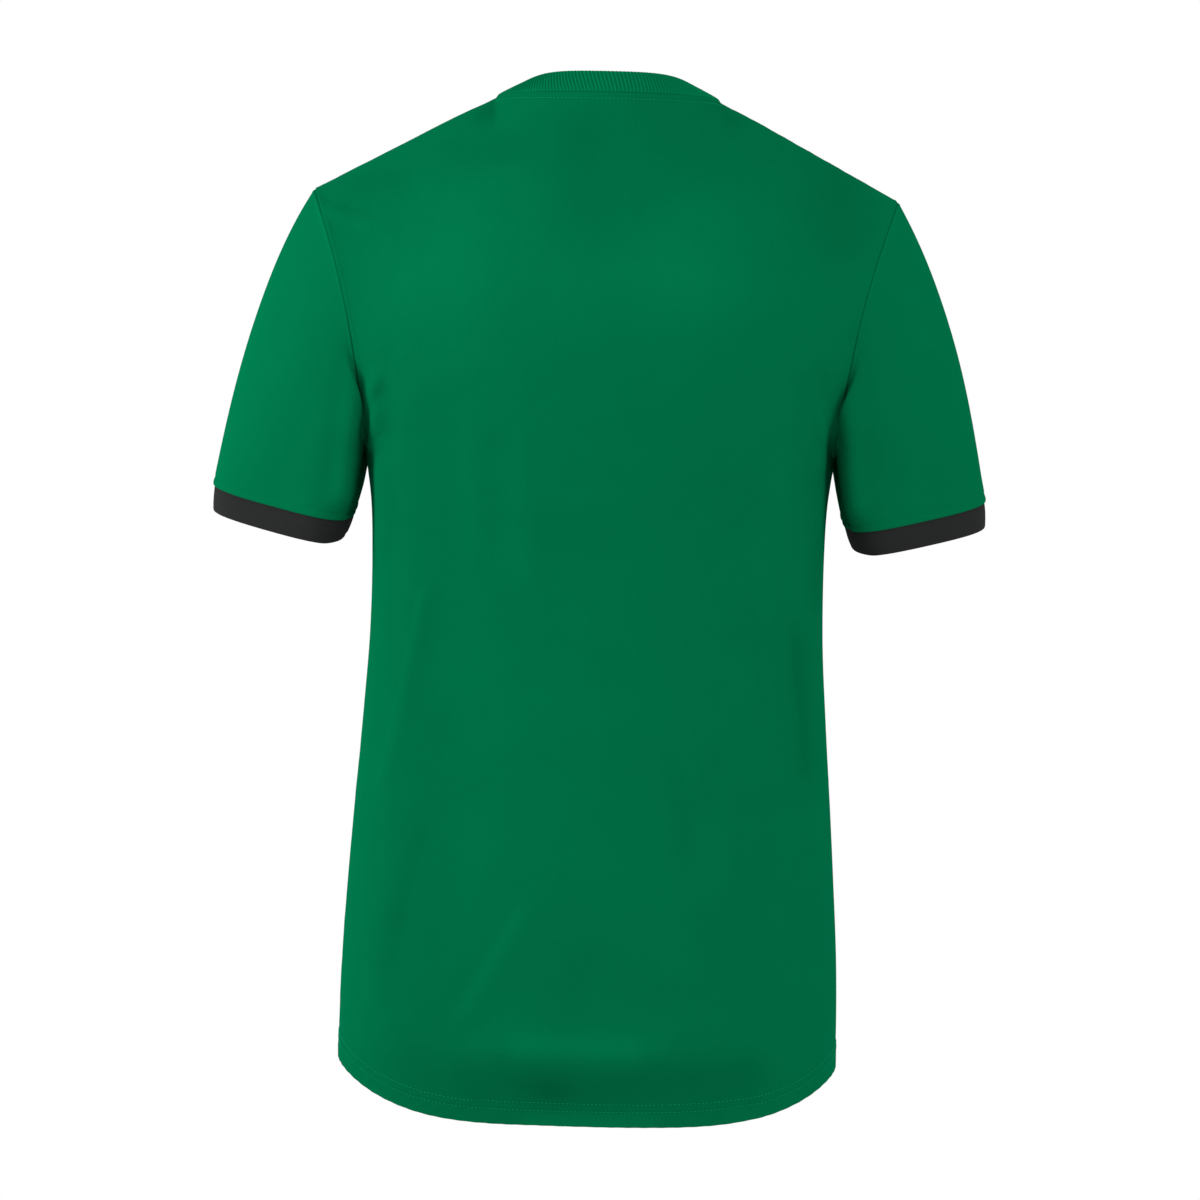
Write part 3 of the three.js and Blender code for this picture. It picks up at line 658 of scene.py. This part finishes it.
def stitch_row(name, line, normals, closed=False):
    """A row of stitches along a line on the cloth: short threads whose ends dip into it."""
    if closed:
        line, normals = np.vstack([line, line[:1]]), np.vstack([normals, normals[:1]])
    run = run_along(line, 0)
    count = int(run[-1] / STITCH["pitch"])
    middles = (np.arange(count) + 0.5) * run[-1] / count
    turns = np.linspace(0, 2 * math.pi, STITCH["sides"] + 1)[:-1, None]

    def at(values, spot):
        return np.stack([np.interp(spot, run, values[:, k]) for k in range(3)], -1)

    rings = []
    for place in np.linspace(-0.5, 0.5, STITCH["rings"]):
        spot = middles + place * STITCH["length"]
        up = at(normals, spot)
        up /= np.linalg.norm(up, axis=-1, keepdims=True)
        side = np.cross(at(line, spot + 0.2) - at(line, spot - 0.2), up)
        side /= np.maximum(np.linalg.norm(side, axis=-1, keepdims=True), 1e-9)
        radius = STITCH["radius"] * (1 if abs(place) < 0.45 else STITCH["tip"])
        rise = STITCH["radius"] * (1.1 - 7.5 * place**2)
        centre = at(line, spot) + up * rise
        rings.append(centre[:, None] + radius * (side[:, None] * np.cos(turns) + up[:, None] * np.sin(turns)))
    points = np.stack(rings, 1)  # stitch, ring, turn, xyz
    at_ring = np.arange(STITCH["rings"] * STITCH["sides"]).reshape(STITCH["rings"], STITCH["sides"])
    beside = np.roll(at_ring, -1, 1)
    walls = np.stack([at_ring[:-1], beside[:-1], beside[1:], at_ring[1:]], -1).reshape(-1, 4)
    ends = np.stack([at_ring[0, ::-1], at_ring[-1]])
    first = np.arange(count)[:, None, None] * at_ring.size
    faces = (walls + first).reshape(-1, 4).tolist() + (ends + first).reshape(-1, STITCH["sides"]).tolist()
    piece = new_piece(name, points.reshape(-1, 3), faces)
    set_tone(piece, np.ones(len(piece.data.vertices)))
    return piece


# ---------- The pieces' surfaces ----------
def columns_across():
    """Shares of a panel's half width from -1 to 1, closer together beside the side seams."""
    dense = np.linspace(0, 1, 2001)
    run = run_along(row_points(1, UNDERARM // 2, dense), 0)
    near_seam = np.interp(-np.array(SEAM_COLUMNS, float), run - run[-1], dense)
    inside = spread([0, (NECK_SHARE, NECK_COLUMNS), (near_seam.min(), PANEL_COLUMNS)])
    half = np.concatenate([inside, np.sort(near_seam)[1:]])
    return np.concatenate([-half[:0:-1], half])


def rows_up():
    """Places up a panel in table rows, close together at the hem and at the top edge."""
    stops = [0, (HEM_SHARE, HEM_STEPS), (1, 4)]
    stops += [(k, BODY_STEPS) for k in range(2, UNDERARM + 1)]
    stops += [(k, YOKE_STEPS) for k in range(UNDERARM + 1, TOP)]
    return spread(stops + [(TOP - TOP_SHARE, YOKE_STEPS), (TOP, TOP_STEPS)])


U = columns_across()
T = rows_up()
UNDERARM_ROW = int(np.searchsorted(T, UNDERARM - 1e-6))
AROUND = len(T) - UNDERARM_ROW  # grid rows of a panel's armhole


def panel_surface(way):
    points = panel_form(way, U, T)
    across = run_along(points, 1)
    points[..., 1] += way * armhole_fill(T[:, None], np.minimum(across, across[:, -1:] - across))
    return Surface(points, -way, False, WALL)


def sleeve_surface(side):
    """The ring starts at the underarm and goes round by the front, with a column for each armhole row."""
    rising = T[UNDERARM_ROW:]
    round_it = 180 * (TOP - rising) / (TOP - UNDERARM)
    degrees = np.concatenate([360 - round_it, round_it[-2:0:-1]])
    points = sleeve_form(side, degrees, spread(SLEEVE_ROWS))
    way = np.where(np.arange(len(degrees)) < AROUND, -1, 1)
    t = np.concatenate([rising, rising[-2:0:-1]])
    points[..., 1] += way * armhole_fill(t, run_along(points, 0))
    return Surface(points, -side, True, WALL)


def cuff_surface(side):
    """The band from its tuck inside the sleeve's end down to its fold, bowed a little and slightly wavy."""
    degrees = np.linspace(180, 540, CUFF_COLUMNS + 1)[:-1] % 360
    by_body = smooth((-np.cos(np.radians(degrees)) - 0.55) / 0.45)  # 1 on the side by the body
    below = spread(CUFF_ROWS)
    rows = []
    for distance in below:
        share = distance / CUFF["height"]
        bow = CUFF_FORM["bow"] * math.sin(math.pi * min(max(share, 0), 1))
        tuck = CUFF_FORM["tuck"] * smooth(-distance / CUFF_FORM["tuck_length"])
        drop = distance * (1 - CUFF_FORM["rise"] * by_body * max(share, 0))
        set_back = CUFF["set_back"] + tuck - bow
        rows.append(cuff_point(side, degrees, drop[:, None], set_back, lerp(1, CUFF["taper"], share)))
    surface = Surface(np.array(rows), -side, True, BAND_WALL)
    along, across = surface.along[:, :-1], surface.across[:, :-1]
    wave = 0.25 * np.sin(across / 23 + 1.3 * side) + 0.12 * np.sin(across / 9 + along / 7)
    surface.relief(smooth(below / 8)[:, None] * wave)
    return surface


def collar_surface():
    """The ribbed band stands on the neckline, leans in and bows out a little."""
    columns = COLLAR["ribs"] * RIB_STEPS
    base = np.arange(columns) * 360 / columns
    share = np.linspace(0, 1, COLLAR_STEPS + 1)[:, None]
    degrees = base + COLLAR_FORM["lean"] * smooth(0.5 + 1.2 * np.sin(np.radians(base))) * share
    c, s = np.cos(np.radians(degrees)), np.sin(np.radians(degrees))
    leaning = COLLAR["lean"]
    tilt = np.radians(lerp(np.where(c > 0, leaning["back"], leaning["front"]), leaning["side"], s**4))
    up = points_of(-s * np.sin(tilt), -c * np.sin(tilt), np.cos(tilt))
    points = neckline_point(degrees) + up * COLLAR["height"] * share[..., None]
    surface = Surface(points, -1, True, BAND_WALL)
    rib = np.cos(math.pi * np.arange(columns) * 2 / RIB_STEPS)
    fade = smooth(share / 0.08) * smooth((1.02 - share) / 0.12)
    foot = COLLAR_FORM["foot"] * (1 - smooth(share / 0.1))
    bow = COLLAR_FORM["bow"] * np.sin(math.pi * share) - foot
    surface.relief(COLLAR["rib"] * rib * fade + bow)
    # The collar is lighter all round, and its ribs carry painted shading: painted highlight on the crests,
    # painted shade between them
    surface.tone += COLLAR_TONE + RIB_PAINTED_SHADING * rib * fade
    return surface


def share_normals(places):
    """The pieces that meet at a place, each (surface, row, column), have one direction out there."""
    mean = sum(surface.normals[j, i] for surface, j, i in places)
    for surface, j, i in places:
        surface.normals[j, i] = mean / np.linalg.norm(mean)


def sewn_normals(back, front, sleeves):
    """Shares the directions out along every seam that joins two panels, or a panel and a sleeve."""
    last = len(T) - 1
    for side, column in ((1, len(U) - 1), (-1, 0)):
        for j in range(UNDERARM_ROW):
            share_normals([(back, j, column), (front, j, column)])
        share_normals([(back, UNDERARM_ROW, column), (front, UNDERARM_ROW, column), (sleeves[side], 0, 0)])
        share_normals([(back, last, column), (front, last, column), (sleeves[side], 0, AROUND - 1)])
        for k in range(1, AROUND - 1):
            share_normals([(front, UNDERARM_ROW + k, column), (sleeves[side], 0, k)])
            share_normals([(back, UNDERARM_ROW + k, column), (sleeves[side], 0, 2 * AROUND - 2 - k)])
    for i in np.flatnonzero((np.abs(U) >= NECK_SHARE - 1e-6) & (np.abs(U) < 1)):
        share_normals([(back, last, i), (front, last, i)])


def dress_panel(surface, way):
    """Creases, unevenness, sewn edges and the turned hem of a panel."""
    face = face_of(way)
    x, z = surface.points[..., 0], surface.points[..., 2]
    to_hem = surface.along
    to_top = surface.along[-1:] - surface.along
    to_side = np.minimum(surface.across, surface.across[:, -1:] - surface.across)
    to_seam = np.minimum(to_side, to_top)
    height = smooth(to_seam / EASE["panel_waves"]) * unevenness(x, z, WAVE_SEEDS[face])
    height += smooth(to_seam / EASE["panel_creases"]) * crease_height(CREASES[face], x, z)
    height += seam_relief(to_seam, surface.along + surface.across)
    height += hem_relief(to_hem, surface.across)
    on_neck = smooth((NECK_SHARE - np.abs(U)) / NECK_FADE + 0.5)
    height -= NECK_ROW["dip"] * on_neck * bell(to_top - NECK_ROW["below"], NECK_ROW["dip_width"])
    surface.relief(height)
    # Painted shading: the soft patches of painted highlight and painted shade, and the seams' painted shade
    # and highlight
    surface.tone += fold_height(PAINTED_SHADING[face], surface.points) + seam_painted_shading(to_seam, SEAM_PAINTED_SHADING["on_panel"])
    surface.wall += (HEM_WALL - WALL) * turned_up(to_hem)


def dress_sleeve(surface, side):
    """Creases, the armhole and underarm seams, the inner corners and the rolled end over the cuff."""
    round_it, down = surface.across[:, :-1], surface.along[:, :-1]
    whole = surface.across[:, -1:]
    to_end = down[-1:] - down
    to_seam = np.minimum(down, np.minimum(round_it, whole - round_it))
    towards_back = np.where(round_it > whole / 2, whole - round_it, -round_it)
    x, y, z = (surface.points[..., k] for k in range(3))
    waves = unevenness(y + 0.6 * x, z, WAVE_SEEDS[side])
    height = smooth(np.minimum(down, to_end) / EASE["sleeve_waves"]) * waves
    creases = crease_height(SLEEVE_CREASES[side], towards_back, down)
    height += smooth(down / EASE["sleeve_creases"]) * creases
    height += seam_relief(to_seam, down + round_it)
    height += SLEEVE_END["roll"] * bell(to_end - SLEEVE_END["roll_at"], SLEEVE_END["roll_width"])
    height -= SLEEVE_END["dip"] * bell(to_end - SLEEVE_END["dip_at"], SLEEVE_END["dip_width"])
    inwards = np.degrees(np.arctan2(-side * surface.normals[..., 0], np.abs(surface.normals[..., 1])))
    corner = CORNER["height"] * bell(inwards - CORNER["angle"], CORNER["spread"])
    height += corner * smooth(to_end / CORNER["from_end"]) * smooth(down / CORNER["from_top"])
    # Painted shade in the seams, and a painted highlight on the ridge beside them
    surface.tone += seam_painted_shading(to_seam, SEAM_PAINTED_SHADING["on_sleeve"])
    surface.relief(height)


# ---------- Materials ----------
# The knit's relief is made of rounded columns of loops. slant is how a loop leans from the edge of its column
# to the middle, height is its share of the relief, and a painted shade darkens the gaps between the loops.
LOOPS = dict(slant=1.3, height=0.35, roundness=0.6, gap_tone=0.9, loop_tone=0.12)
SHEEN_ROUGHNESS = 0.45
BUMP_STRENGTH = 0.5
UNEVEN_SCALE, UNEVEN_DETAIL = 26, 5  # of the noise that makes the cloth's tone uneven


def knit(name, colour, roughness, sheen, tint, wale, course, depth, tone=0.05):
    """Fine knitted cloth: rows of small loops in relief with painted shade between them, a faint uneven tone,
    and painted shading from the attribute tone.

    wale and course are a loop's width and height, depth is the relief's, in mm, and tone is a share.
    """
    material = bpy.data.materials.new(name)
    material.use_nodes = True
    nodes, links = material.node_tree.nodes, material.node_tree.links
    shader = nodes["Principled BSDF"]
    shader.inputs["Roughness"].default_value = roughness
    shader.inputs["Specular IOR Level"].default_value = 0
    shader.inputs["Specular Tint"].default_value = (*tint, 1)
    shader.inputs["Sheen Weight"].default_value = sheen
    shader.inputs["Sheen Roughness"].default_value = SHEEN_ROUGHNESS
    shader.inputs["Sheen Tint"].default_value = (*tint, 1)

    def math_node(operation, *values):
        node = nodes.new("ShaderNodeMath")
        node.operation = operation
        for socket, value in zip(node.inputs, values):
            if isinstance(value, (int, float)):
                socket.default_value = value
            else:
                links.new(value, socket)
        return node.outputs[0]

    uv = nodes.new("ShaderNodeUVMap")
    uv.uv_map = "cloth"
    split = nodes.new("ShaderNodeSeparateXYZ")
    links.new(uv.outputs[0], split.inputs[0])
    across = math_node("DIVIDE", split.outputs[0], wale * MM)
    column = math_node("PINGPONG", across, 0.5)  # 0 at the edge of a column of loops, 0.5 in its middle
    along = math_node("DIVIDE", split.outputs[1], course * MM)
    slanted = math_node("ADD", along, math_node("MULTIPLY", column, LOOPS["slant"]))
    loops = math_node("SINE", math_node("MULTIPLY", slanted, 2 * math.pi))
    columns = math_node("POWER", math_node("MULTIPLY", column, 2.0), LOOPS["roundness"])
    relief = math_node("MULTIPLY_ADD", loops, LOOPS["height"], columns)
    bump = nodes.new("ShaderNodeBump")
    bump.inputs["Strength"].default_value = BUMP_STRENGTH
    bump.inputs["Distance"].default_value = depth * MM
    links.new(relief, bump.inputs["Height"])
    links.new(bump.outputs[0], shader.inputs["Normal"])

    noise = nodes.new("ShaderNodeTexNoise")
    noise.inputs["Scale"].default_value = UNEVEN_SCALE
    noise.inputs["Detail"].default_value = UNEVEN_DETAIL
    place = nodes.new("ShaderNodeTexCoord")
    links.new(place.outputs["Object"], noise.inputs["Vector"])
    shade = nodes.new("ShaderNodeMapRange")
    shade.inputs["To Min"].default_value = 1 - tone
    shade.inputs["To Max"].default_value = 1 + tone
    links.new(noise.outputs["Fac"], shade.inputs["Value"])
    # Painted shade in the gaps between the loops, lighter on the loops
    gap = math_node("MULTIPLY_ADD", relief, LOOPS["loop_tone"], LOOPS["gap_tone"])
    # The attribute tone carries the painted shading of the panels, the seams and the collar's ribs
    tone_with_painted_shading = nodes.new("ShaderNodeAttribute")
    tone_with_painted_shading.attribute_name = "tone"
    whole = math_node("MULTIPLY", math_node("MULTIPLY", shade.outputs[0], gap), tone_with_painted_shading.outputs["Fac"])
    toned = nodes.new("ShaderNodeVectorMath")
    toned.operation = "SCALE"
    toned.inputs[0].default_value = colour
    links.new(whole, toned.inputs["Scale"])
    links.new(toned.outputs[0], shader.inputs["Base Color"])
    return material


def pale(name, colour):
    material = bpy.data.materials.new(name)
    material.use_nodes = True
    shader = material.node_tree.nodes["Principled BSDF"]
    shader.inputs["Base Color"].default_value = (*colour, 1)
    shader.inputs["Roughness"].default_value = 0.9
    shader.inputs["Specular IOR Level"].default_value = 0.1
    return material


GREEN = (0.0002, 0.098, 0.0372)
GREEN_THREAD = (0.003, 0.21, 0.095)
BLACK = (0.0145, 0.015, 0.015)
GREEN_SHEEN = (0.0, 0.55, 0.3)
GREY_SHEEN = (0.5, 0.5, 0.5)

jersey = knit("green_jersey", GREEN, 0.8, 0.06, GREEN_SHEEN, wale=0.9, course=0.7, depth=0.12)
rib_knit = knit("green_rib", GREEN, 0.82, 0.05, GREEN_SHEEN, wale=0.8, course=0.7, depth=0.1)
band = knit("black_band", BLACK, 0.85, 0.05, GREY_SHEEN, wale=0.7, course=0.6, depth=0.1)
thread = knit("green_thread", GREEN_THREAD, 0.6, 0.1, GREEN_SHEEN, wale=0.3, course=0.3, depth=0.02, tone=0.1)


# ---------- The shirt ----------
def finish_piece(piece, material, node=None):
    """Gives a piece its material and body, and hides the CAD node that it replaces, if any."""
    piece.data.materials.append(material)
    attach(piece, "root")
    if node:
        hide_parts(node)
    return piece


def hem_stitches(panel, face):
    """The twin needle's two rows round a panel's hem."""
    rows = []
    for number, distance in enumerate(HEM["rows"]):
        line = along_grid(panel.points, panel.along, distance)
        out = along_grid(panel.normals, panel.along, distance)
        row = stitch_row(f"hem_stitches_{face}_{number}", line, out)
        rows.append(finish_piece(row, thread))
    return rows


def neck_stitches(back, front):
    """One row round the neckline, over both panels."""
    on_neck = np.abs(U) <= NECK_SHARE + 1e-6
    halves = []
    for panel in (back, front):
        from_top = (panel.along[-1:] - panel.along)[:, on_neck]
        line = along_grid(panel.points[:, on_neck], from_top, NECK_ROW["below"])
        out = along_grid(panel.normals[:, on_neck], from_top, NECK_ROW["below"])
        halves.append((line, out))
    line, out = (np.vstack([of_back, of_front[::-1]]) for of_back, of_front in zip(*halves))
    return finish_piece(stitch_row("neck_stitches", line, out, closed=True), thread)


back, front = panel_surface(1), panel_surface(-1)
sleeves = {side: sleeve_surface(side) for side in (1, -1)}
sewn_normals(back, front, sleeves)
for side, sleeve in sleeves.items():
    dress_sleeve(sleeve, side)
for way, panel in ((1, back), (-1, front)):
    dress_panel(panel, way)

pieces = {
    "back": finish_piece(back.piece("back_panel", (0,)), jersey, "back"),
    "front": finish_piece(front.piece("front_panel", (0,)), jersey, "front"),
    "collar": finish_piece(collar_surface().piece("neckband", (-1,)), rib_knit, "collar"),
}
for side, word in ((1, "left"), (-1, "right")):
    sleeve = sleeves[side].piece("sleeve_cloth_" + word, (-1,))
    pieces["sleeve_" + word] = finish_piece(sleeve, jersey, "sleeve_" + word)
    cuff = cuff_surface(side).piece("cuff_band_" + word, (0, -1))
    pieces["cuff_" + word] = finish_piece(cuff, band, "cuff_" + word)
hem_rows = {"back": hem_stitches(back, "back"), "front": hem_stitches(front, "front")}
neck_row = neck_stitches(back, front)

# The sleeve and the cuff of each side
for word in ("left", "right"):
    sleeve, cuff = pieces["sleeve_" + word], pieces["cuff_" + word]

# ---------- Stage, in metres ----------
FLOOR_Z = -1.45
FLOOR_RADIUS = 4.2
MIDDLE = (0, 0, -0.35)  # near the shirt's middle, where the lights point

bpy.ops.mesh.primitive_circle_add(
    vertices=96, radius=FLOOR_RADIUS, fill_type="NGON", location=(0, 0, FLOOR_Z)
)
floor = bpy.context.object
floor.name = "floor"
floor.data.materials.append(pale("pale_floor", (0.88, 0.88, 0.88)))

world = bpy.data.worlds.new("studio")
world.use_nodes = True
world.node_tree.nodes["Background"].inputs["Color"].default_value = (1, 1, 1, 1)
world.node_tree.nodes["Background"].inputs["Strength"].default_value = 1.0
bpy.context.scene.world = world


def soft_light(name, place, size, power):
    lamp = bpy.data.lights.new(name, "AREA")
    lamp.shape, lamp.size, lamp.energy = "DISK", size, power
    holder = bpy.data.objects.new(name, lamp)
    holder.location = place
    holder.rotation_euler = (Vector(MIDDLE) - Vector(place)).to_track_quat("-Z", "Y").to_euler()
    bpy.context.scene.collection.objects.link(holder)


soft_light("key", (1.22, 0.48, 0.0), 0.6, 15)
soft_light("fill", (-1.2, 1.3, 0.5), 0.8, 16)
soft_light("front", (0.7, -2.3, 0.3), 0.8, 34)

# The camera is behind the shirt, level with its middle, and slightly rolled
CAMERA = dict(place=(-0.0021, 3.0, -0.3695), roll=1.295, lens=123.35, sensor=36)
lens = bpy.data.cameras.new("camera")
lens.sensor_width = CAMERA["sensor"]
lens.lens = CAMERA["lens"]
camera = bpy.data.objects.new("camera", lens)
camera.matrix_world = (
    Matrix.Translation(CAMERA["place"])
    @ Matrix.Rotation(math.pi, 4, "Z")
    @ Matrix.Rotation(math.pi / 2, 4, "X")
    @ Matrix.Rotation(math.radians(CAMERA["roll"]), 4, "Z")
)
bpy.context.scene.collection.objects.link(camera)
bpy.context.scene.camera = camera
bpy.context.scene.view_settings.view_transform = "Standard"
